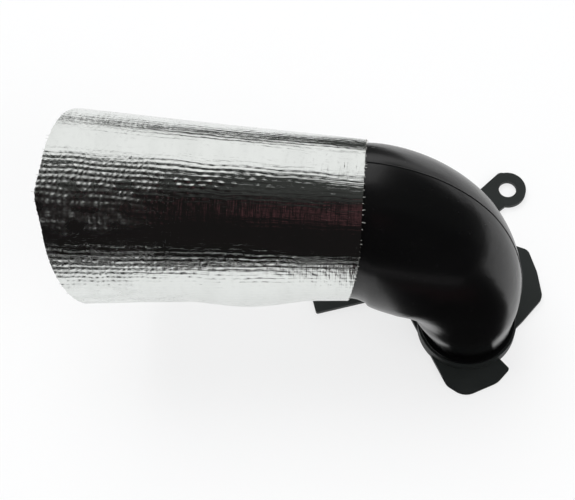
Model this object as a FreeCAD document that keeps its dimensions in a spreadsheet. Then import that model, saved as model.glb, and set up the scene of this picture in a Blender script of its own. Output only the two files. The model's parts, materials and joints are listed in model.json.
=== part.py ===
"""Alternator air duct: a moulded elbow in a flat mounting plate, with a heat shield sleeve over its tube.

Lengths in mm. The plate's mating face is z = 0, the origin is the centre of the outlet,
and the tube runs along -X from the top of the bend.
"""
import FreeCAD, Part
import math
import os
import Sketcher

doc = FreeCAD.newDocument("air_duct")
sheet = doc.addObject("Spreadsheet::Sheet", "sizes")
V = FreeCAD.Vector

SIZES = [
    ("wall", 2.0, "wall of the moulded elbow"),
    ("neck_radius", 19.5, "outside of the outlet neck"),
    ("stop_width", 1.7, "how far the stop ring stands out from the neck"),
    ("stop_height", 2.0, "height of the stop ring"),
    ("ball_sink", 1.0, "how far the rounded lower end reaches below the stop ring"),
    ("ball_radius", 21.2, "outside of the rounded lower end"),
    ("bend_radius", 45.2, "centreline of the bend"),
    ("lean", 22.3, "how far the bend leans over, in degrees"),
    ("middle_radius", 27.4, "outside of the bend half way round, before the fill"),
    ("bend_fill", 4.7, "extra radius half way round, taken on the inside of the bend"),
    ("tube_radius", 32.2, "outside of the tube where the bend ends"),
    ("inlet_radius", 38.0, "outside of the tube at the inlet"),
    ("tube_length", 96.0, "tapered length of the tube"),
    ("lip_length", 9.0, "straight lip at the inlet"),
    ("flash_height", 0.35, "how far the parting line stands up"),
    ("flash_width", 0.9, "width of the parting line"),
    ("sleeve_gap", 0.15, "play between the tube and the sleeve"),
    ("sleeve_wall", 1.2, "thickness of the sleeve"),
    ("sleeve_start", 3.0, "from the end of the bend to the sleeve"),
    ("sleeve_length", 115.6, "length of the sleeve along its axis"),
    ("sleeve_slant", 17.9, "slant of the sleeve's inlet end, in degrees"),
    ("slant_turn", 30.3, "turn of that slant round the tube, in degrees"),
    ("seam_angle", 24.0, "width of the lapped seam, in degrees"),
    ("plate_thickness", 2.2, "mounting plate"),
    ("socket_gap", 0.2, "play between the neck and its socket"),
    ("socket_wall", 2.2, "wall of the socket"),
    ("socket_height", 4.5, "socket above the plate"),
    ("ear_x", 17.13, "bolt hole of the ear"),
    ("ear_y", 66.96, "bolt hole of the ear"),
    ("ear_radius", 8.4, "rounded end of the ear"),
    ("bolt_hole", 8.0, "both bolt holes"),
    ("strap_x", -60.67, "bolt hole of the strap"),
    ("strap_y", 11.26, "bolt hole of the strap"),
]
for row, (alias, value, note) in enumerate(SIZES, 1):
    sheet.set(f"A{row}", alias)
    sheet.set(f"B{row}", str(value))
    sheet.set(f"C{row}", note)
    sheet.setAlias(f"B{row}", alias)
doc.recompute()

SEAT = "(sizes.plate_thickness + sizes.socket_height)"
BALL = f"({SEAT} + sizes.ball_radius - sizes.ball_sink)"
BEND = f"placement(vector(0; 0; {BALL}); rotation(vector(1; 0; 0); -sizes.lean))"
AXIS = f"{BEND} * placement(vector(-sizes.bend_radius; 0; sizes.bend_radius); rotation(vector(0; 1; 0); -90))"


def primitive(kind, name, place=None, **sizes):
    """One Part object whose sizes and placement are bound to the sheet."""
    made = doc.addObject("Part::" + kind, name)
    for key, value in sizes.items():
        made.setExpression(key, str(value))
    if place:
        made.setExpression("Placement", place)
    return made


def cut(name, base, tool):
    made = doc.addObject("Part::Cut", name)
    made.Base = base
    made.Tool = tool
    return made


def fuse(name, shapes):
    made = doc.addObject("Part::MultiFuse", name)
    made.Shapes = shapes
    return made


def common(name, base, tool):
    made = doc.addObject("Part::Common", name)
    made.Base = base
    made.Tool = tool
    return made


# The elbow: round sections along a quarter turn, then a tapered tube and a straight lip.
STEPS = 6


def bend(name, offset):
    """The bend, its ball-shaped lower end and nothing else, all offset by the same amount."""
    rings = []
    for i in range(STEPS + 1):
        share = 2.0 * i / STEPS
        turn = 90.0 * i / STEPS
        swell = max(math.sin(math.radians(2 * turn)), 0.0)
        if share <= 1:
            grown = share * share * (3 - 2 * share)
            size = f"sizes.ball_radius + (sizes.middle_radius - sizes.ball_radius) * {grown:.6f}"
            swell = swell ** 2
        else:
            size = f"sizes.middle_radius + (sizes.tube_radius - sizes.middle_radius) * {share - 1}"
            swell = swell ** 0.75
        fill = f"sizes.bend_fill * {swell:.6f}"
        place = (
            f"{BEND} * placement(vector(-sizes.bend_radius; 0; 0); rotation(vector(0; 1; 0); {-turn}))"
            f" * placement(vector(sizes.bend_radius - {fill}; 0; 0); rotation(vector(0; 0; 1); 0))"
        )
        rings.append(primitive("Circle", f"{name}_ring_{i}", place, Radius=f"{size} + {fill} + {offset}"))
    swept = doc.addObject("Part::Loft", name + "_sweep")
    swept.Sections = rings
    swept.Solid = True
    swept.Ruled = False
    swept.MaxDegree = 3
    ball = primitive("Sphere", name + "_ball", BEND, Radius=f"sizes.ball_radius + {offset}", Angle2="0")
    return swept, ball


def tube(name, offset, extra):
    taper = primitive("Cone", name + "_taper", AXIS, Radius1=f"sizes.tube_radius + {offset}",
                      Radius2=f"sizes.inlet_radius + {offset}", Height="sizes.tube_length")
    end = f"{AXIS} * placement(vector(0; 0; sizes.tube_length); rotation(vector(0; 0; 1); 0))"
    lip = primitive("Cylinder", name + "_lip", end, Radius=f"sizes.inlet_radius + {offset}",
                    Height=f"sizes.lip_length + {extra}")
    return taper, lip


outer = list(bend("outside", "0")) + list(tube("outside", "0", "0"))
outer.append(primitive("Cylinder", "neck", None, Radius="sizes.neck_radius", Height=f"{BALL} - 6"))
outer.append(primitive("Cylinder", "stop_ring", f"placement(vector(0; 0; {SEAT}); rotation(vector(0; 0; 1); 0))",
                       Radius="sizes.neck_radius + sizes.stop_width", Height="sizes.stop_height"))
ridge_bend, ridge_ball = bend("ridge", "sizes.flash_height")
slab = primitive("Box", "parting_plane",
                 f"{BEND} * placement(vector(-sizes.bend_radius; -sizes.flash_width / 2; -sizes.bend_radius);"
                 " rotation(vector(0; 0; 1); 0))",
                 Length="sizes.bend_radius * 2", Width="sizes.flash_width", Height="sizes.bend_radius * 3")
flash = common("parting_line", fuse("ridge", [ridge_bend, ridge_ball]), slab)
outer.append(flash)
inner = list(bend("inside", "-sizes.wall")) + list(tube("inside", "-sizes.wall", "1"))
inner.append(primitive("Cylinder", "neck_bore", "placement(vector(0; 0; -1); rotation(vector(0; 0; 1); 0))",
                       Radius="sizes.neck_radius - sizes.wall", Height=f"{BALL} - 4"))
elbow = cut("duct_elbow", fuse("elbow_solid", outer), fuse("elbow_bore", inner))

# The sleeve: one cone of cloth round the tube, lapped along its length and cut on the slant.
# Its lengthwise threads are the corners of straight-sided cones, each turned a little from the last.
slope = "(sizes.inlet_radius - sizes.tube_radius) / sizes.tube_length"
first = f"sizes.tube_radius + sizes.sleeve_gap + ({slope}) * sizes.sleeve_start"
REACH = "(tan(sizes.sleeve_slant) * (sizes.inlet_radius + 6) + 1)"
last = f"{first} + ({slope}) * (sizes.sleeve_length + {REACH})"
THREADS = 24
LAYERS = 4
cloth = []
for layer in range(LAYERS):
    ends = []
    for end, along, size in (("near", "0", first), ("far", f"sizes.sleeve_length + {REACH}", last)):
        place = (
            f"{AXIS} * placement(vector(0; 0; sizes.sleeve_start + {along});"
            f" rotation(vector(0; 0; 1); {360 / THREADS / LAYERS * layer}))"
        )
        ring = primitive("RegularPolygon", f"threads_{end}_{layer}", place, Circumradius=f"{size} + sizes.sleeve_wall")
        ring.Polygon = THREADS
        ends.append(ring)
    threads = doc.addObject("Part::Loft", f"threads_{layer}")
    threads.Sections = ends
    threads.Solid = True
    threads.Ruled = True
    cloth.append(threads)
lapped = f"{AXIS} * placement(vector(0; 0; sizes.sleeve_start); rotation(vector(0; 0; 1); 170))"
seam = primitive("Cone", "cloth_lap", lapped, Radius1=f"{first} + sizes.sleeve_wall * 2",
                 Radius2=f"{last} + sizes.sleeve_wall * 2", Height=f"sizes.sleeve_length + {REACH}",
                 Angle="sizes.seam_angle")
hollow = primitive("Cone", "cloth_inside",
                   f"{AXIS} * placement(vector(0; 0; sizes.sleeve_start - 1); rotation(vector(0; 0; 1); 0))",
                   Radius1=f"{first} - ({slope})", Radius2=f"{last} + ({slope})",
                   Height=f"sizes.sleeve_length + {REACH} + 2")
trim_at = (
    f"{AXIS} * placement(vector(0; 0; sizes.sleeve_start + sizes.sleeve_length); rotation(vector(0; 0; 1);"
    " -sizes.slant_turn)) * placement(vector(0; 0; 0); rotation(vector(0; 1; 0); -sizes.sleeve_slant))"
    " * placement(vector(-100; -100; 0); rotation(vector(0; 0; 1); 0))"
)
trim = primitive("Box", "slant_trim", trim_at, Length="200", Width="200", Height="100")
sleeve = cut("heat_shield_sleeve",
             cut("cloth_tube", fuse("cloth_wrap", cloth + [seam]), hollow), trim)

# The plate: an outline with rounded corners, an ear, a socket for the neck and two bolt holes.
# Each corner is x, y and the radius that rounds it.
OUTLINE = [
    (19.5, -20.3, 0.8), (13.5, -14.3, 0.8), (18.0, -5.5, 4.0), (25.2, 2.9, 8.0),
    (33.7, 14.2, 5.0), (31.1, 26.4, 14.0), (26.9, 37.1, 4.0), (9.3, 42.4, 6.0),
    (7.3, 50.4, 6.0), (19.3, 61.4, 2.0), (16.3, 78.6, 3.0), (-18.7, 41.2, 12.0),
    (-24.7, 29.9, 6.0), (-71.2, 15.6, 1.0), (-66.8, 1.3, 1.0), (-26.2, 14.0, 5.0),
    (-25.7, 3.1, 3.0), (-7.7, -29.3, 6.0), (0.3, -34.0, 8.0), (14.6, -26.6, 9.0),
]


def rounded(sketch, corners):
    """Adds a closed outline of lines and tangent arcs to a sketch."""
    ends = []
    for i, (x, y, size) in enumerate(corners):
        here = V(x, y, 0)
        before = V(*corners[i - 1][:2], 0) - here
        after = V(*corners[(i + 1) % len(corners)][:2], 0) - here
        half = before.getAngle(after) / 2
        before.normalize()
        after.normalize()
        reach = size / math.tan(half)
        middle = before + after
        middle.normalize()
        start = here + before * reach
        stop = here + after * reach
        centre = here + middle * (size / math.sin(half))
        ends.append((start, stop, centre - middle * size))
    for i, (start, stop, top) in enumerate(ends):
        sketch.addGeometry(Part.Arc(start, top, stop), False)
        sketch.addGeometry(Part.LineSegment(stop, ends[(i + 1) % len(ends)][0]), False)


plate = doc.addObject("PartDesign::Body", "mounting_plate")
doc.recompute()


def on_face(name):
    sketch = plate.newObject("Sketcher::SketchObject", name)
    sketch.AttachmentSupport = [(plate.Origin.OriginFeatures[3], "")]
    sketch.MapMode = "FlatFace"
    return sketch


def circle(sketch, radius, x="0", y="0"):
    """A circle whose radius and centre are bound to the sheet."""
    index = sketch.addGeometry(Part.Circle(V(1, 1, 0), V(0, 0, 1), 5), False)
    rule = sketch.addConstraint(Sketcher.Constraint("Radius", index, 5))
    sketch.setExpression(f"Constraints[{rule}]", radius)
    if x == "0":
        sketch.addConstraint(Sketcher.Constraint("Coincident", index, 3, -1, 1))
        return
    rule = sketch.addConstraint(Sketcher.Constraint("DistanceX", -1, 1, index, 3, 1))
    sketch.setExpression(f"Constraints[{rule}]", x)
    rule = sketch.addConstraint(Sketcher.Constraint("DistanceY", -1, 1, index, 3, 1))
    sketch.setExpression(f"Constraints[{rule}]", y)


def pad(name, sketch, length):
    made = plate.newObject("PartDesign::Pad", name)
    made.Profile = sketch
    made.setExpression("Length", length)
    doc.recompute()
    return made


def pocket(name, sketch):
    before = plate.Shape.Volume
    made = plate.newObject("PartDesign::Pocket", name)
    made.Profile = sketch
    made.Type = 1
    made.Midplane = True
    doc.recompute()
    if plate.Shape.Volume >= before - 1:
        raise RuntimeError(name + " cuts nothing")
    return made


outline = on_face("outline")
rounded(outline, OUTLINE)
doc.recompute()
pad("sheet_pad", outline, "sizes.plate_thickness")
ear = on_face("ear_round")
circle(ear, "sizes.ear_radius", "sizes.ear_x", "sizes.ear_y")
doc.recompute()
pad("ear_pad", ear, "sizes.plate_thickness")
ring = on_face("socket_round")
circle(ring, "sizes.neck_radius + sizes.socket_gap + sizes.socket_wall")
doc.recompute()
pad("socket_pad", ring, "sizes.plate_thickness + sizes.socket_height")
opening = on_face("socket_opening")
circle(opening, "sizes.neck_radius + sizes.socket_gap")
doc.recompute()
pocket("socket_bore", opening)
holes = on_face("bolt_holes")
circle(holes, "sizes.bolt_hole / 2", "sizes.ear_x", "sizes.ear_y")
circle(holes, "sizes.bolt_hole / 2", "sizes.strap_x", "sizes.strap_y")
doc.recompute()
pocket("bolt_bores", holes)

doc.recompute()
for made in doc.Objects:
    if "Invalid" in made.State or "Error" in made.State:
        raise RuntimeError(f"{made.Name} is {made.State}")
os.makedirs("parts", exist_ok=True)
for made in (elbow, plate, sleeve):
    made.Label = made.Name
    shape = made.Shape
    if shape.isNull() or not shape.isValid() or len(shape.Solids) != 1:
        raise RuntimeError(f"{made.Name} is not one valid solid")
    shape.exportStep(f"parts/{made.Name}.step")
    box = shape.BoundBox
    print(made.Name, "volume", round(shape.Volume, 1), "box", [round(v, 2) for v in
          (box.XMin, box.YMin, box.ZMin, box.XMax, box.YMax, box.ZMax)])
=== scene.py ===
"""Dresses an engine air duct: a moulded elbow on its plate, and a sleeve of foil-faced cloth."""

import json
import math

import bpy
from mathutils import Matrix, Vector, noise


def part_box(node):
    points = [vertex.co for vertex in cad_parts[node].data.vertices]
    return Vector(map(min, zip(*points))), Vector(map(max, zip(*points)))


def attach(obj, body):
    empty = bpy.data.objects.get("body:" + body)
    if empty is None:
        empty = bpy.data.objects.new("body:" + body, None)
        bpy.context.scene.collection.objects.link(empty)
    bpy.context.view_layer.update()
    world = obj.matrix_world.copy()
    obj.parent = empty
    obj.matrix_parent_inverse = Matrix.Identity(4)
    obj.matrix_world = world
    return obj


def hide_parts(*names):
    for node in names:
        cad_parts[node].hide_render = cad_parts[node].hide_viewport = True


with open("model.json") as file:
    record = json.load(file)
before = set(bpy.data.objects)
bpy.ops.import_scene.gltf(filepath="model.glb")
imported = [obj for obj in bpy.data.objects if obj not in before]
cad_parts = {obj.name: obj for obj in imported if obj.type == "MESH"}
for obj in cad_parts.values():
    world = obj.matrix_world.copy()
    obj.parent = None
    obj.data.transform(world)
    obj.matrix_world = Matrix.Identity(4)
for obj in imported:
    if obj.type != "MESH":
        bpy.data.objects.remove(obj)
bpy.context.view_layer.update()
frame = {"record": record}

bl_info = {
    "name": "Air duct with a heat shield sleeve",
    "version": (1, 0, 0),
    "blender": (4, 5, 0),
    "location": "3D View > Sidebar > Air Duct",
    "description": "Dresses a moulded air duct and wraps its tube in foil-faced cloth",
    "category": "Object",
}

INLET = Vector(next(m["pos_m"] for m in frame["record"]["mounts"] if m["name"] == "inlet"))
LEAN = math.radians(22.3)
UP = Vector((0.0, 0.0, 1.0))
AHEAD = Vector((1.0, 0.0, 0.0))
SIDE = Vector((0.0, math.cos(LEAN), -math.sin(LEAN)))
RISE = Vector((0.0, math.sin(LEAN), math.cos(LEAN)))
SLEEVE_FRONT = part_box("heat_shield_sleeve")[1][0]

# The weave, in millimetres: threads, cross threads, and where it grows coarser towards the inlet.
THREAD_STEP = 2.2
PICK_STEP = 2.35
COARSE_FROM = 58.0
COARSE_TO = 96.0

# The cloth's faces round the tube and along it, and the share of its length that counts as a cut edge.
CLOTH_ROUND = 480
CLOTH_ALONG = 84
EDGE_ROW = 0.002

# Places for a thread end on each cut edge, then sizes in metres: threads, thread ends and uneven edges.
THREAD_PLACES = 150
THREAD_HEIGHT = 0.00009
THREAD_ROOT = 0.00016
THREAD_TIP = 0.00006
THREAD_TUCK = 0.0003
FRONT_FRAY = 0.00045
BACK_FRAY = 0.00040

# Sides of the circles of the elbow and its parting lines, and steps along the bend and up to it.
ELBOW_SIDES = 128
LINE_SIDES = 8
BEND_STEPS = 32
FOOT_STEPS = 8

# In metres: where the straight neck ends, and the radius of a parting line and how deep it sits.
FOOT_TOP = 0.0100
LINE_RADIUS = 0.00036
LINE_SINK = 0.0001

# The stage, in metres: the floor just below the plate, and the dark glowing cards of painted reflection
# that only reflections see.
FLOOR_SIZE = 12.0
FLOOR_HEIGHT = -0.0006
CARD_HEIGHT = 0.0004
ROOM_HALF = 5.0
ROOM_BACK = 4.5
ROOM_TOP = 0.9
CEILING_EDGE = 0.56
FRONT_WALL_FOOT = 0.20


class DuctSleeveSettings(bpy.types.PropertyGroup):
    """Sizes and colours of the cloth sleeve."""

    start_radius: bpy.props.FloatProperty(
        name="Start radius", description="Outer radius at the end near the elbow",
        default=0.03373, unit="LENGTH")
    taper: bpy.props.FloatProperty(
        name="Taper", description="Growth of the radius for each metre along the tube",
        default=0.0604)
    length: bpy.props.FloatProperty(
        name="Length", description="Length on the tube's axis",
        default=0.1156, unit="LENGTH")
    slant: bpy.props.FloatProperty(
        name="Slant", description="Slant of the cut at the inlet end",
        default=math.radians(17.9), subtype="ANGLE")
    slant_turn: bpy.props.FloatProperty(
        name="Slant turn", description="Where the longest side is, from the top",
        default=math.radians(-30.3), subtype="ANGLE")
    seam_turn: bpy.props.FloatProperty(
        name="Seam turn", description="Where the lapped seam starts, from the top",
        default=math.radians(170.0), subtype="ANGLE")
    lap: bpy.props.FloatProperty(
        name="Lap", description="How far the cloth lies over itself",
        default=math.radians(24.0), subtype="ANGLE")
    thickness: bpy.props.FloatProperty(
        name="Thickness", description="Thickness of the cloth with its foil",
        default=0.0009, unit="LENGTH")
    foil_colour: bpy.props.FloatVectorProperty(
        name="Foil", description="Colour of the foil face",
        default=(0.77, 0.79, 0.77), size=3, min=0.0, max=1.0, subtype="COLOR")
    backing_colour: bpy.props.FloatVectorProperty(
        name="Backing", description="Colour of the woven backing and its cut edge",
        default=(0.46, 0.45, 0.41), size=3, min=0.0, max=1.0, subtype="COLOR")


class DuctElbowSettings(bpy.types.PropertyGroup):
    """Sizes of the moulded elbow, in metres."""

    neck_radius: bpy.props.FloatProperty(name="Neck", default=0.0195, min=0.01, unit="LENGTH")
    ring_radius: bpy.props.FloatProperty(name="Stop ring", default=0.0212, min=0.01, unit="LENGTH")
    ball_height: bpy.props.FloatProperty(name="Bend height", default=0.0269, min=0.01, unit="LENGTH")
    ball_radius: bpy.props.FloatProperty(name="Lower end", default=0.0205, min=0.01, unit="LENGTH")
    middle_radius: bpy.props.FloatProperty(name="Middle", default=0.0276, min=0.01, unit="LENGTH")
    tube_radius: bpy.props.FloatProperty(name="Tube", default=0.0322, min=0.01, unit="LENGTH")
    inlet_radius: bpy.props.FloatProperty(name="Inlet", default=0.0380, min=0.01, unit="LENGTH")
    bend_radius: bpy.props.FloatProperty(name="Bend", default=0.0452, min=0.01, unit="LENGTH")
    fill: bpy.props.FloatProperty(
        name="Fill", description="Fullness inside the bend",
        default=0.0045, min=0.0, unit="LENGTH")
    low_fill: bpy.props.FloatProperty(
        name="Low fill", description="Fullness where the bend leaves the neck",
        default=0.0028, min=0.0, unit="LENGTH")
    end_fill: bpy.props.FloatProperty(
        name="End fill", description="Fullness where the tube starts",
        default=0.0012, min=0.0, unit="LENGTH")
    tube_length: bpy.props.FloatProperty(name="Tube length", default=0.096, min=0.01, unit="LENGTH")
    lip_length: bpy.props.FloatProperty(name="Lip length", default=0.009, min=0.001, unit="LENGTH")
    wall: bpy.props.FloatProperty(name="Wall", default=0.002, min=0.0005, unit="LENGTH")


class DuctPlasticSettings(bpy.types.PropertyGroup):
    """Colours of the moulded pieces."""

    elbow_colour: bpy.props.FloatVectorProperty(
        name="Elbow", description="Colour of the satin elbow",
        default=(0.0026, 0.0026, 0.0028), size=3, min=0.0, max=1.0, subtype="COLOR")
    plate_colour: bpy.props.FloatVectorProperty(
        name="Plate", description="Colour of the matt plate",
        default=(0.019, 0.022, 0.021), size=3, min=0.0, max=1.0, subtype="COLOR")


class DuctStageSettings(bpy.types.PropertyGroup):
    """Camera and floor."""

    camera_place: bpy.props.FloatVectorProperty(
        name="Camera place", description="Where the camera stands",
        default=(-0.04446, -0.30412, 0.77293), size=3, subtype="TRANSLATION", unit="LENGTH")
    camera_turn: bpy.props.FloatVectorProperty(
        name="Camera turn", description="How the camera is turned",
        default=tuple(math.radians(a) for a in (23.597, 1.137, 3.721)), size=3, subtype="EULER")
    lens: bpy.props.FloatProperty(
        name="Lens", description="Focal length in millimetres on a 36 mm sensor",
        default=116.333)
    floor_colour: bpy.props.FloatVectorProperty(
        name="Floor", description="Colour of the pale floor",
        default=(0.90, 0.90, 0.90), size=3, min=0.0, max=1.0, subtype="COLOR")


class Sock:
    """A node's output that takes part in Python arithmetic."""

    def __init__(self, nodes, node, name=0):
        self.nodes = nodes
        self.node = node
        self.socket = node.outputs[name] if len(node.outputs) else None

    def out(self, name):
        return Sock(self.nodes, self.node, name)

    def math(self, operation, *values):
        return self.nodes.add("ShaderNodeMath", {"operation": operation}, dict(enumerate(values)))

    def __add__(self, other):
        return self.math("ADD", self, other)

    def __radd__(self, other):
        return self.math("ADD", other, self)

    def __sub__(self, other):
        return self.math("SUBTRACT", self, other)

    def __rsub__(self, other):
        return self.math("SUBTRACT", other, self)

    def __mul__(self, other):
        return self.math("MULTIPLY", self, other)

    def __truediv__(self, other):
        return self.math("DIVIDE", self, other)

    def __abs__(self):
        return self.math("ABSOLUTE", self)

    def sine(self):
        return self.math("SINE", self)

    def cosine(self):
        return self.math("COSINE", self)

    def highest(self, other):
        return self.math("MAXIMUM", self, other)

    def step(self, low, high):
        return self.nodes.add("ShaderNodeMapRange", {"interpolation_type": "SMOOTHSTEP"},
                              {"Value": self, "From Min": low, "From Max": high})


class Nodes:
    """A node tree that is filled one node at a time."""

    def __init__(self, tree):
        self.tree = tree
        tree.nodes.clear()

    def add(self, kind, settings=None, sockets=None, out=0):
        node = self.tree.nodes.new(kind)
        for key, value in (settings or {}).items():
            setattr(node, key, value)
        for key, value in (sockets or {}).items():
            if isinstance(value, Sock):
                self.tree.links.new(value.socket, node.inputs[key])
            else:
                node.inputs[key].default_value = value
        return Sock(self, node, out)

    def blend(self, factor, first, second):
        return self.add("ShaderNodeMix", {"data_type": "RGBA"}, {0: factor, 6: first, 7: second}, 2)

    def grain(self, place, scale, detail=3.0, roughness=0.5):
        return self.add("ShaderNodeTexNoise", None,
                        {"Vector": place, "Scale": scale, "Detail": detail, "Roughness": roughness})

    def stretch(self, place, scale, turn=(0.0, 0.0, 0.0)):
        return self.add("ShaderNodeMapping", {"vector_type": "POINT"},
                        {"Vector": place, "Scale": scale, "Rotation": turn})

    def bump(self, height, distance, under=None):
        sockets = {"Height": height, "Distance": distance, "Strength": 1.0}
        if under is not None:
            sockets["Normal"] = under
        return self.add("ShaderNodeBump", None, sockets)

    def seen(self):
        """1 for rays from the camera, off a mirror or through a clear body, else 0."""
        path = self.add("ShaderNodeLightPath")
        shown = path.out("Is Camera Ray").highest(path.out("Is Glossy Ray"))
        return shown.highest(path.out("Is Transmission Ray"))


def new_finish(name):
    material = bpy.data.materials.new(name)
    material.use_nodes = True
    return material, Nodes(material.node_tree)


def show(nodes, shader):
    nodes.add("ShaderNodeOutputMaterial", None, {"Surface": shader})


def coat(nodes, sockets):
    """Ends a finish with one Principled shader."""
    show(nodes, nodes.add("ShaderNodeBsdfPrincipled", None, sockets))


def colour(values):
    return (values[0], values[1], values[2], 1.0)


def foil_finish(settings):
    """Foil pressed on a plain weave: wavy rows along the length, flatter in some places than in others."""
    material, nodes = new_finish("foil_cloth_face")
    place = nodes.add("ShaderNodeAttribute", {"attribute_name": "weave_place"}, out="Vector")
    parts = nodes.add("ShaderNodeSeparateXYZ", None, {0: place})
    flat = nodes.add("ShaderNodeCombineXYZ", None, {"X": parts.out("X"), "Y": parts.out("Y")})
    drift = nodes.grain(nodes.stretch(flat, (0.20, 0.12, 1.0)), 1.0, 2.0) - 0.5
    row = parts.out("X") / THREAD_STEP
    pick = parts.out("Y") / PICK_STEP + drift * 1.6
    rows = (row * (2.0 * math.pi)).cosine()
    beads = (row * math.pi).cosine() * (pick * math.pi).cosine()
    picks = (pick * (2.0 * math.pi)).cosine() * parts.out("Y").step(55.0, 100.0)
    depth = parts.out("Z")
    coarse = parts.out("Y").step(COARSE_FROM, COARSE_TO) * depth
    threads = rows * 0.08 + beads * 0.40 + picks * 0.40 + picks * rows * 0.25
    weave = threads * depth * (coarse * 0.35 + 1.0)
    long_lines = nodes.grain(nodes.stretch(flat, (0.55, 0.03, 1.0)), 1.0, 4.0, 0.6)
    cross_lines = nodes.grain(nodes.stretch(flat, (0.05, 0.40, 1.0)), 1.0, 3.0, 0.6)
    relief = nodes.bump(long_lines, 0.00022)
    relief = nodes.bump(cross_lines, 0.00016, relief)
    relief = nodes.bump(weave, 0.00018, relief)
    dull = nodes.grain(flat, 0.40, 4.0, 0.6)
    smear = nodes.grain(nodes.stretch(flat, (0.03, 0.09, 1.0)), 1.0, 2.0)
    shade = nodes.blend(dull.step(0.50, 0.80) * 0.25 + smear.step(0.4, 0.7) * 0.18,
                        colour(settings.foil_colour), (0.60, 0.62, 0.60, 1.0))
    coat(nodes, {
        "Base Color": shade,
        "Metallic": 1.0,
        "Roughness": 0.06 + dull * 0.09 + coarse * 0.34,
        "Normal": relief,
    })
    return material


def backing_finish(settings):
    """Plain glass weave of the sleeve's inner side and its cut edges, with painted shade in the gaps
    between threads.
    """
    material, nodes = new_finish("foil_cloth_backing")
    place = nodes.add("ShaderNodeAttribute", {"attribute_name": "weave_place"}, out="Vector")
    parts = nodes.add("ShaderNodeSeparateXYZ", None, {0: place})
    across = (parts.out("X") / 2.05 * math.pi).sine()
    along = (parts.out("Y") / 3.1 * math.pi).sine()
    cell = across * along
    strands = nodes.grain(nodes.stretch(place, (4.0, 0.5, 1.0)), 1.0, 3.0)
    weave = abs(cell) * 0.6 + cell * 0.25 + strands * 0.3
    pale = colour(settings.backing_colour)
    # Painted shade: the colour darkens towards (0.20, 0.19, 0.17) in the gaps between threads, where the
    # weave's bump is lowest.
    shade = nodes.blend(abs(cell).step(0.0, 0.6), (0.20, 0.19, 0.17, 1.0), pale)
    coat(nodes, {
        "Base Color": nodes.blend(strands.step(0.35, 0.75) * 0.35, shade, (0.62, 0.61, 0.57, 1.0)),
        "Roughness": 0.78 + strands * 0.15,
        "Normal": nodes.bump(weave, 0.00025),
    })
    return material


def thread_finish(settings):
    """Pale glass thread at the cut edges."""
    material, nodes = new_finish("glass_thread")
    place = nodes.add("ShaderNodeTexCoord", out="Object")
    mottle = nodes.grain(place, 900.0, 3.0)
    coat(nodes, {
        "Base Color": nodes.blend(mottle, colour(settings.backing_colour), (0.78, 0.79, 0.77, 1.0)),
        "Roughness": 0.45 + mottle * 0.3,
        "Normal": nodes.bump(mottle, 0.00005),
    })
    return material


def elbow_finish(settings):
    """Satin black moulding with a fine skin and faint flow marks."""
    material, nodes = new_finish("satin_moulded_elbow")
    place = nodes.add("ShaderNodeTexCoord", out="Object")
    skin = nodes.grain(place, 1500.0, 3.0, 0.6)
    flow = nodes.grain(nodes.stretch(place, (26.0, 70.0, 70.0)), 1.0, 3.0, 0.5)
    dust = nodes.grain(place, 420.0, 4.0, 0.65)
    specks = dust.step(0.66, 0.78)
    relief = nodes.bump(flow, 0.00035)
    relief = nodes.bump(skin, 0.000012, relief)
    base = colour(settings.elbow_colour)
    marks = specks * 0.25 + flow.step(0.5, 0.8) * 0.15
    coat(nodes, {
        "Base Color": nodes.blend(marks, base, (0.012, 0.012, 0.012, 1.0)),
        "Roughness": 0.22 + skin * 0.06 + specks * 0.12,
        "Specular IOR Level": 0.5,
        "Normal": relief,
    })
    return material


def plate_finish(settings):
    """Matt black plate with a fine even grain and slight rub marks."""
    material, nodes = new_finish("matt_moulded_plate")
    place = nodes.add("ShaderNodeTexCoord", out="Object")
    grain = nodes.grain(place, 2200.0, 3.0, 0.6)
    cloud = nodes.grain(place, 55.0, 3.0, 0.5)
    rub = nodes.grain(nodes.stretch(place, (60.0, 260.0, 120.0), (0.0, 0.0, 0.5)), 1.0, 4.0, 0.6)
    rubbed = rub.step(0.58, 0.78)
    base = colour(settings.plate_colour)
    marks = cloud.step(0.3, 0.7) * 0.35 + rubbed * 0.2
    coat(nodes, {
        "Base Color": nodes.blend(marks, base, (0.030, 0.033, 0.032, 1.0)),
        "Roughness": 0.52 + grain * 0.10 - rubbed * 0.08,
        "Specular IOR Level": 0.35,
        "Normal": nodes.bump(grain, 0.00003),
    })
    return material


def fresh_start():
    """Object mode, with nothing selected."""
    if bpy.context.object is not None and bpy.context.object.mode != "OBJECT":
        bpy.ops.object.mode_set(mode="OBJECT")
    bpy.ops.object.select_all(action="DESELECT")


def waver(x, y, z):
    """Smooth noise between about -1 and 1."""
    return noise.noise(Vector((x, y, z)))


def bell(distance, width):
    """A smooth hump, 1 at distance 0."""
    return math.exp(-(distance / width) ** 2)


def ease(value, low, high):
    """A smooth step from 0 at low to 1 at high."""
    share = min(max((value - low) / (high - low), 0.0), 1.0)
    return share * share * (3.0 - 2.0 * share)


def from_top(angle):
    """The same turn round the tube in degrees, from -190 to 170, with the camera's side below zero."""
    return (math.degrees(angle) + 190.0) % 360.0 - 190.0


def slack(angle, reach):
    """How far the cloth stands off its smooth cone, in metres."""
    turn = from_top(angle)
    ring = Vector((math.cos(angle), math.sin(angle), 0.0))
    broad = noise.noise(ring * 1.6 + Vector((3.1, 1.7, reach * 16.0)))
    small = noise.noise(ring * 4.5 + Vector((7.3, 2.9, reach * 40.0)))
    lift = 0.00034 * broad + 0.00016 * small
    lift += 0.0018 * bell(reach - 0.046, 0.017) * bell(turn + 136.0, 26.0)
    lift -= 0.0006 * bell(reach - 0.075, 0.014) * bell(turn + 136.0, 26.0)
    lift -= 0.0009 * bell(reach - 0.016, 0.012) * bell(turn + 130.0, 30.0)
    lift += 0.0008 * bell(turn + 42.0, 9.0) * ease(reach, 0.085, 0.128)
    return max(lift, -0.00034)


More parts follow.
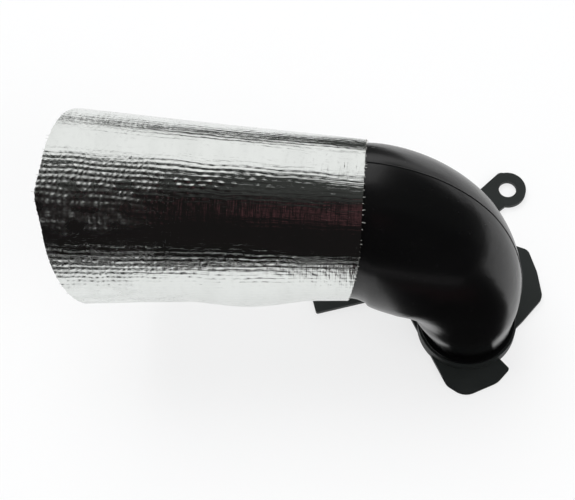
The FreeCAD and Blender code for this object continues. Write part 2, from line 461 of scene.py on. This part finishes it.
def front_cut(angle):
    """How far the front edge is cut back, in metres: most below, on the camera's side."""
    turn = from_top(angle)
    low = 0.0044 * ease(-turn, 60.0, 140.0) - 0.0020 * ease(-turn, 165.0, 190.0)
    return low + 0.0024 * ease(turn, 120.0, 170.0)


def cut_lines(angle, settings):
    """Where the cloth starts and ends along the tube, in metres from the sleeve's front."""
    end_radius = settings.start_radius + settings.taper * settings.length
    back = settings.length
    back += math.tan(settings.slant) * end_radius * math.cos(angle - settings.slant_turn)
    back += 0.0016 * bell(from_top(angle) + 42.0, 11.0)
    return front_cut(angle), back


def sleeve_radius(angle, reach, settings):
    """Outer radius of the cloth, which climbs over its own edge at the seam."""
    climb = settings.seam_turn + 2.0 * math.pi
    over = ease(angle, climb - math.radians(7.0), climb)
    radius = settings.start_radius + settings.taper * reach + slack(angle, reach)
    return radius + (settings.thickness + 0.0002) * over


def patchy(around, along):
    """Where the foil lies close on the threads, from 0 to 1, in patches longer than wide."""
    spread = waver(around * 0.24, along * 0.11, 8.0)
    spread += 0.5 * waver(around * 0.5, along * 0.23, 5.0)
    return ease(spread, -0.50, 0.42)


def weave_depth(angle, reach):
    """How strongly the weave shows, from 0 to 1: most on the camera's side, towards the inlet."""
    turn = from_top(angle)
    start = 0.012 + 0.052 * ease(-turn, 22.0, 48.0)
    inlet = ease(reach, start, start + 0.050) * ease(-turn, 10.0, 28.0)
    inlet *= 1.0 - 0.90 * ease(-turn, 50.0, 68.0)
    below = 0.40 * ease(-turn, 60.0, 78.0) * (0.35 + 0.65 * ease(reach, 0.008, 0.045))
    above = 0.12 * ease(turn, -12.0, 2.0)
    return 0.16 + 0.84 * max(inlet, below, above)


def cloth_angle(share, settings):
    """Turn round the tube at a share of the cloth's width, from its under edge to its upper one."""
    return settings.seam_turn + share * (2.0 * math.pi + settings.lap)


def on_axis(reach):
    """The point on the tube's axis this far back from the sleeve's front."""
    return Vector((SLEEVE_FRONT - reach, INLET.y, INLET.z))


def outward(angle):
    """The way out of the tube at this turn from the top."""
    return RISE * math.cos(angle) + SIDE * math.sin(angle)


class DUCT_OT_sleeve(bpy.types.Operator):
    """Wrap the tube in foil-faced cloth with a lapped seam and raw cut ends"""

    bl_idname = "duct.sleeve"
    bl_label = "Wrap the sleeve"

    def execute(self, context):
        settings = context.scene.duct_sleeve
        fresh_start()
        bpy.ops.mesh.primitive_grid_add(x_subdivisions=CLOTH_ROUND, y_subdivisions=CLOTH_ALONG, size=1.0)
        cloth = context.object
        cloth.name = "sleeve_cloth"
        mesh = cloth.data
        mesh.name = "sleeve_cloth"
        self.wrap(mesh, settings)
        mesh.materials.append(foil_finish(settings))
        mesh.materials.append(backing_finish(settings))
        wall = cloth.modifiers.new("Wall", "SOLIDIFY")
        wall.thickness = settings.thickness
        wall.offset = -1.0
        wall.material_offset = 1
        wall.material_offset_rim = 1
        bpy.ops.object.modifier_apply(modifier=wall.name)
        bpy.ops.object.shade_smooth_by_angle(angle=math.radians(50.0))
        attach(cloth, "root")
        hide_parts("heat_shield_sleeve")
        fringe = self.thread_ends(settings)
        return {"FINISHED"}

    def wrap(self, mesh, settings):
        """Lay the flat grid round the tube and note each point's place in the weave."""
        weave = mesh.attributes.new("weave_place", "FLOAT_VECTOR", "POINT")
        places = []
        mean = settings.start_radius + settings.taper * settings.length * 0.5
        for vertex in mesh.vertices:
            turn = vertex.co.x + 0.5
            share = vertex.co.y + 0.5
            angle = cloth_angle(turn, settings)
            front, back = cut_lines(angle, settings)
            if share < EDGE_ROW:
                front += waver(turn * 210.0, 4.0, 1.0) * FRONT_FRAY
            if share > 1.0 - EDGE_ROW:
                back += waver(turn * 210.0, 9.0, 1.0) * BACK_FRAY
            reach = front + share * (back - front)
            around = angle * mean * 1000.0
            along = reach * 1000.0
            around += 0.75 * waver(around * 0.10, along * 0.10, 3.0)
            depth = weave_depth(angle, reach)
            coarse = 1.0 + depth * ease(along, COARSE_FROM, COARSE_TO)
            depth *= 0.30 + 0.95 * patchy(around, along)
            height = THREAD_HEIGHT * depth * coarse
            radius = sleeve_radius(angle, reach, settings)
            radius += height * math.cos(2.0 * math.pi * around / THREAD_STEP)
            vertex.co = on_axis(reach) + outward(angle) * radius
            places.extend((around, along, depth))
        weave.data.foreach_set("vector", places)

    def one_thread(self):
        """A tapered thread of unit length along Z, to be copied."""
        taper = THREAD_TIP / THREAD_ROOT
        fresh_start()
        bpy.ops.mesh.primitive_circle_add(vertices=4, radius=THREAD_ROOT, fill_type="NGON")
        bpy.ops.object.mode_set(mode="EDIT")
        bpy.ops.mesh.select_all(action="SELECT")
        bpy.ops.mesh.extrude_region_move(TRANSFORM_OT_translate={"value": (0.0, 0.0, 1.0)})
        bpy.ops.transform.resize(value=(taper, taper, 1.0), center_override=(0.0, 0.0, 1.0))
        bpy.ops.object.mode_set(mode="OBJECT")
        return bpy.context.object

    def thread_place(self, edge, i, settings):
        """How a thread end stands on a cut edge, 0 in front or 1 at the inlet, or None for a bare place."""
        if waver(i * 0.9, edge * 7.0, 3.0) < 0.0:
            return None
        turn = (i + 0.5 + 0.6 * waver(i * 1.7, edge * 9.0, 2.0)) / THREAD_PLACES
        angle = cloth_angle(min(max(turn, 0.01), 0.99), settings)
        reach = cut_lines(angle, settings)[edge]
        sign = 1.0 if edge else -1.0
        length = 0.0005 + 0.0011 * abs(waver(i * 2.3, edge * 5.0, 7.0)) * 1.6
        lean = waver(i * 3.1, edge * 4.0, 5.0) * 0.6
        radius = sleeve_radius(angle, reach, settings) - settings.thickness * 0.45
        out = outward(angle)
        round_way = SIDE * math.cos(angle) - RISE * math.sin(angle)
        root = on_axis(reach - sign * THREAD_TUCK) + out * radius
        way = AHEAD * (-sign * (length + THREAD_TUCK)) + round_way * lean * length
        place = Matrix((out, round_way, way)).transposed().to_4x4()
        place.translation = root
        return place

    def thread_ends(self, settings):
        """Short ends of thread that stand out of the two cut edges, copied from one thread."""
        thread = self.one_thread()
        copies = []
        for edge in (0, 1):
            for i in range(THREAD_PLACES):
                place = self.thread_place(edge, i, settings)
                if place is None:
                    continue
                copy = thread.copy()
                copy.data = thread.data.copy()
                copy.data.transform(place)
                bpy.context.scene.collection.objects.link(copy)
                copies.append(copy)
        bpy.data.objects.remove(thread)
        fresh_start()
        for copy in copies:
            copy.select_set(True)
        fringe = copies[0]
        bpy.context.view_layer.objects.active = fringe
        bpy.ops.object.join()
        fringe.name = "sleeve_thread_ends"
        fringe.data.name = "sleeve_thread_ends"
        fringe.data.materials.append(thread_finish(settings))
        bpy.ops.object.mode_set(mode="EDIT")
        bpy.ops.mesh.select_all(action="SELECT")
        bpy.ops.mesh.normals_make_consistent(inside=False)
        bpy.ops.object.mode_set(mode="OBJECT")
        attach(fringe, "root")
        return fringe


def sweep(name, rings, count, capped):
    """A skin through circles, each given by its centre, the way along, the way out and its radius."""
    fresh_start()
    circles = []
    for centre, along, out, radius in rings:
        turn = Matrix((out, along.cross(out), along)).transposed().to_euler()
        bpy.ops.mesh.primitive_circle_add(vertices=count, radius=radius, location=centre, rotation=turn)
        circles.append(bpy.context.object)
    for circle in circles:
        circle.select_set(True)
    bpy.ops.object.join()
    bpy.ops.object.transform_apply(location=True, rotation=True, scale=True)
    bpy.ops.object.mode_set(mode="EDIT")
    bpy.ops.mesh.select_all(action="SELECT")
    bpy.ops.mesh.bridge_edge_loops()
    bpy.ops.mesh.select_all(action="SELECT")
    if capped:
        bpy.ops.mesh.fill_holes(sides=0)
        bpy.ops.mesh.select_all(action="SELECT")
    bpy.ops.mesh.normals_make_consistent(inside=False)
    bpy.ops.object.mode_set(mode="OBJECT")
    skin = bpy.context.object
    skin.name = name
    skin.data.name = name
    return skin


def bend_rings(settings):
    """Circles along the bend, from the lower end to the tube, and a little way into the tube."""
    hub = UP * settings.ball_height - AHEAD * settings.bend_radius
    rings = []
    for i in range(BEND_STEPS + 1):
        share = 2.0 * i / BEND_STEPS
        angle = i / BEND_STEPS * math.pi / 2.0
        swell = max(math.sin(2.0 * angle), 0.0)
        if share <= 1.0:
            size = settings.ball_radius + (settings.middle_radius - settings.ball_radius) * share
            fill = settings.low_fill + (settings.fill - settings.low_fill) * swell ** 1.3
        else:
            size = settings.middle_radius + (settings.tube_radius - settings.middle_radius) * (share - 1.0)
            fill = settings.end_fill + (settings.fill - settings.end_fill) * swell ** 0.6
        out = AHEAD * math.cos(angle) + RISE * math.sin(angle)
        along = RISE * math.cos(angle) - AHEAD * math.sin(angle)
        rings.append((hub + out * (settings.bend_radius - fill), along, out, size + fill))
    taper = (settings.inlet_radius - settings.tube_radius) / settings.tube_length
    start = hub + RISE * settings.bend_radius
    for reach, left in ((0.0015, 0.62), (0.003, 0.30), (0.0045, 0.10), (0.006, 0.0)):
        fill = settings.end_fill * left
        centre = start - AHEAD * reach - RISE * fill
        rings.append((centre, -AHEAD, RISE, settings.tube_radius + taper * reach + fill))
    return rings


def foot_rings(settings):
    """Circles up the neck and its stop ring, then in a smooth curve to the bend's lower end."""
    neck = settings.neck_radius
    stop = settings.ring_radius
    edge = stop - 0.0002
    rings = []
    for height, radius in (
        (0.0, neck),
        (0.0066, neck),
        (0.0067, edge),
        (0.0069, stop),
        (0.0085, stop),
        (0.0087, edge),
        (0.0088, neck),
    ):
        rings.append((UP * height, UP, AHEAD, radius))
    rise = settings.ball_height - FOOT_TOP
    slope = (settings.middle_radius - settings.ball_radius) / (settings.bend_radius * math.pi / 4.0)
    for i in range(FOOT_STEPS):
        share = i / FOOT_STEPS
        smooth = ease(share, 0.0, 1.0)
        pull = share ** 3 - share ** 2
        begin = share ** 3 - 2.0 * share ** 2 + share
        centre = UP * (FOOT_TOP + rise * smooth) + (UP * begin + RISE * pull) * rise
        along = (UP * (1.0 - smooth) + RISE * smooth).normalized()
        fill = settings.low_fill * smooth
        radius = neck + (settings.ball_radius - neck) * smooth + slope * rise * pull + fill
        rings.append((centre - AHEAD * fill, along, AHEAD, radius))
    return rings


def elbow_rings(settings):
    """Circles from the foot of the neck, up through the bend and along the tube to its lip."""
    rings = foot_rings(settings) + bend_rings(settings)
    start = Vector((-settings.bend_radius, 0.0, settings.ball_height)) + RISE * settings.bend_radius
    end = start - AHEAD * settings.tube_length
    for share in (0.25, 0.5, 0.75, 1.0):
        radius = settings.tube_radius + (settings.inlet_radius - settings.tube_radius) * share
        rings.append((start.lerp(end, share), -AHEAD, RISE, radius))
    rings.append((end - AHEAD * settings.lip_length, -AHEAD, RISE, settings.inlet_radius))
    return rings


class DUCT_OT_elbow(bpy.types.Operator):
    """Mould the elbow: one smooth hollow skin with its parting line"""

    bl_idname = "duct.elbow"
    bl_label = "Mould the elbow"

    def execute(self, context):
        settings = context.scene.duct_elbow
        lines = []
        for side in (1.0, -1.0):
            rings = []
            for centre, along, out, radius in bend_rings(settings):
                rings.append((centre + out * side * (radius - LINE_SINK), along, out, LINE_RADIUS))
            lines.append(sweep("parting_line", rings, LINE_SIDES, True))
        skin = sweep("elbow_moulding", elbow_rings(settings), ELBOW_SIDES, False)
        wall = skin.modifiers.new("Wall", "SOLIDIFY")
        wall.thickness = settings.wall
        wall.offset = -1.0
        bpy.ops.object.modifier_apply(modifier=wall.name)
        for line in lines:
            line.select_set(True)
        bpy.ops.object.join()
        bpy.ops.object.shade_smooth_by_angle(angle=math.radians(35.0))
        skin.data.materials.append(elbow_finish(context.scene.duct_plastic))
        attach(skin, "root")
        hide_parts("duct_elbow")
        return {"FINISHED"}


class DUCT_OT_plate(bpy.types.Operator):
    """Give the plate its moulded plastic"""

    bl_idname = "duct.plate"
    bl_label = "Finish the plate"

    def execute(self, context):
        plate = bpy.data.objects.get("mounting_plate")
        if plate is None:
            raise RuntimeError("no object for mounting_plate")
        material = plate_finish(context.scene.duct_plastic)
        for slot in plate.material_slots:
            slot.material = material
        return {"FINISHED"}


def at_height(outline, height):
    """Corners of a level card."""
    return [(x, y, height) for x, y in outline]


class DUCT_OT_stage(bpy.types.Operator):
    """Set the floor, the surroundings, the lamps and the camera"""

    bl_idname = "duct.stage"
    bl_label = "Set the stage"

    def execute(self, context):
        settings = context.scene.duct_stage
        scene = context.scene
        scene.view_settings.view_transform = "Standard"
        self.floor(settings)
        self.painted_reflection_cards()
        self.world(scene)
        self.lamps()
        self.camera(scene, settings)
        return {"FINISHED"}

    def camera(self, scene, settings):
        data = bpy.data.cameras.new("photo_camera")
        data.sensor_width = 36.0
        data.lens = settings.lens
        data.clip_start = 0.01
        data.clip_end = 50.0
        camera = bpy.data.objects.new("photo_camera", data)
        camera.location = settings.camera_place
        camera.rotation_euler = settings.camera_turn
        scene.collection.objects.link(camera)
        scene.camera = camera

    def floor(self, settings):
        fresh_start()
        bpy.ops.mesh.primitive_plane_add(size=FLOOR_SIZE, location=(0.0, 0.0, FLOOR_HEIGHT))
        floor = bpy.context.object
        floor.name = "pale_floor"
        material, nodes = new_finish("pale_floor")
        paper = nodes.add("ShaderNodeBsdfDiffuse", None, {"Color": colour(settings.floor_colour)})
        white = nodes.add("ShaderNodeEmission", None, {"Color": (1.0, 1.0, 1.0, 1.0), "Strength": 1.0})
        show(nodes, nodes.add("ShaderNodeMixShader", None, {0: nodes.seen() * 0.72, 1: paper, 2: white}))
        floor.data.materials.append(material)

    def painted_reflection_cards(self):
        """Painted reflections: dark glowing cards that only reflections see, set as a ceiling, two walls
        and floor round the paper.
        """
        dark = self.painted_reflection_finish()
        behind = [
            (4.0, 1.2), (0.3, 1.0), (-0.045, 0.165), (-0.056, 0.173), (-0.102, 0.25),
            (-0.155, 0.354), (-0.22, 0.52), (-0.6, 1.5), (-6.0, 7.0), (6.0, 7.0),
        ]
        before = [
            (-0.036, -0.030), (-0.055, -0.60), (-0.12, -0.36), (-0.17, -0.25), (-0.35, -0.20),
            (-4.0, -0.20), (-4.0, -6.0), (4.0, -6.0), (4.0, -1.2), (0.055, -0.014),
        ]
        half = ROOM_HALF
        back = ROOM_BACK
        top = ROOM_TOP
        edge = CEILING_EDGE
        foot = FRONT_WALL_FOOT
        cards = {
            "ceiling_card": at_height([(-half, -half), (half, -half), (half, edge), (-half, edge)], top),
            "side_ceiling_card": at_height([(0.12, edge), (half, edge), (half, back), (0.9, back)], top),
            "side_card": [(half, -half, 0.0), (half, back, 0.0), (half, back, top), (half, -half, top)],
            "front_card": [
                (-half, -half, foot), (half, -half, foot), (half, -half, top), (-half, -half, top),
            ],
            # Painted reflection: the floor cards lie just above the pale floor, so reflections show a dark
            # floor where the camera sees a pale one.
            "back_floor_card": at_height(behind, CARD_HEIGHT),
            "front_floor_card": at_height(before, CARD_HEIGHT),
        }
        for name, corners in cards.items():
            mesh = bpy.data.meshes.new(name)
            mesh.from_pydata(corners, [], [list(range(len(corners)))])
            card = bpy.data.objects.new(name, mesh)
            bpy.context.scene.collection.objects.link(card)
            mesh.materials.append(dark)
            card.visible_camera = False
            card.visible_diffuse = False
            card.visible_shadow = False
            card.visible_transmission = False

    def painted_reflection_finish(self):
        """Painted reflections: a glowing tone for the cards, dark, paler towards the back, with a dull red
        patch in front.
        """
        material, nodes = new_finish("painted_reflection_tone")
        place = nodes.add("ShaderNodeTexCoord", out="Object")
        parts = nodes.add("ShaderNodeSeparateXYZ", None, {0: place})
        # Painted reflection: the cards glow darker in front and paler towards the back, with a dull red
        # glowing patch in front of the part.
        toward = parts.out("Y").step(-0.10, 0.12)
        tone = nodes.blend(toward, (0.010, 0.009, 0.009, 1.0), (0.045, 0.047, 0.045, 1.0))
        aside = (parts.out("X") - 0.11) * 6.0
        along = (parts.out("Y") + 0.27) * 6.5
        near = 1.0 - (aside * aside + along * along)
        tone = nodes.blend(near.step(0.0, 0.8), tone, (0.078, 0.034, 0.038, 1.0))
        show(nodes, nodes.add("ShaderNodeEmission", None, {"Color": tone, "Strength": 1.0}))
        return material

    def world(self, scene):
        world = bpy.data.worlds.new("studio")
        world.use_nodes = True
        scene.world = world
        nodes = Nodes(world.node_tree)
        soft = nodes.add("ShaderNodeBackground", None, {"Color": (0.96, 0.98, 1.0, 1.0), "Strength": 0.55})
        white = nodes.add("ShaderNodeBackground", None, {"Color": (1.0, 1.0, 1.0, 1.0), "Strength": 1.0})
        both = nodes.add("ShaderNodeMixShader", None, {0: nodes.seen(), 1: soft, 2: white})
        nodes.add("ShaderNodeOutputWorld", None, {"Surface": both})

    def lamps(self):
        lamps = (
            ("key_lamp", (-0.5, 0.7, 1.5), 1.1, 16.0),
            ("fill_lamp", (0.9, -0.8, 1.2), 1.1, 7.0),
        )
        target = Vector((-0.07, 0.01, 0.04))
        for name, place, size, power in lamps:
            data = bpy.data.lights.new(name, "AREA")
            data.size = size
            data.energy = power
            lamp = bpy.data.objects.new(name, data)
            lamp.location = place
            lamp.rotation_euler = (target - Vector(place)).to_track_quat("-Z", "Y").to_euler()
            lamp.visible_glossy = False
            bpy.context.scene.collection.objects.link(lamp)


class DUCT_PT_sidebar(bpy.types.Panel):
    """Steps that dress the duct"""

    bl_idname = "DUCT_PT_sidebar"
    bl_label = "Air duct"
    bl_space_type = "VIEW_3D"
    bl_region_type = "UI"
    bl_category = "Air Duct"

    def draw(self, context):
        layout = self.layout
        for operator in (DUCT_OT_elbow, DUCT_OT_plate, DUCT_OT_sleeve, DUCT_OT_stage):
            layout.operator(operator.bl_idname)
        scene = context.scene
        for group in (scene.duct_elbow, scene.duct_plastic, scene.duct_sleeve, scene.duct_stage):
            box = layout.box()
            for key in group.bl_rna.properties.keys():
                if key not in {"rna_type", "name"}:
                    box.prop(group, key)


CLASSES = (
    DuctSleeveSettings,
    DuctElbowSettings,
    DuctPlasticSettings,
    DuctStageSettings,
    DUCT_OT_elbow,
    DUCT_OT_plate,
    DUCT_OT_sleeve,
    DUCT_OT_stage,
    DUCT_PT_sidebar,
)


def register():
    for item in CLASSES:
        bpy.utils.register_class(item)
    bpy.types.Scene.duct_sleeve = bpy.props.PointerProperty(type=DuctSleeveSettings)
    bpy.types.Scene.duct_elbow = bpy.props.PointerProperty(type=DuctElbowSettings)
    bpy.types.Scene.duct_plastic = bpy.props.PointerProperty(type=DuctPlasticSettings)
    bpy.types.Scene.duct_stage = bpy.props.PointerProperty(type=DuctStageSettings)


def unregister():
    del bpy.types.Scene.duct_sleeve
    del bpy.types.Scene.duct_elbow
    del bpy.types.Scene.duct_plastic
    del bpy.types.Scene.duct_stage
    for item in reversed(CLASSES):
        bpy.utils.unregister_class(item)


def main():
    register()
    bpy.ops.duct.elbow()
    bpy.ops.duct.plate()
    bpy.ops.duct.sleeve()
    bpy.ops.duct.stage()


if __name__ == "__main__":
    main()
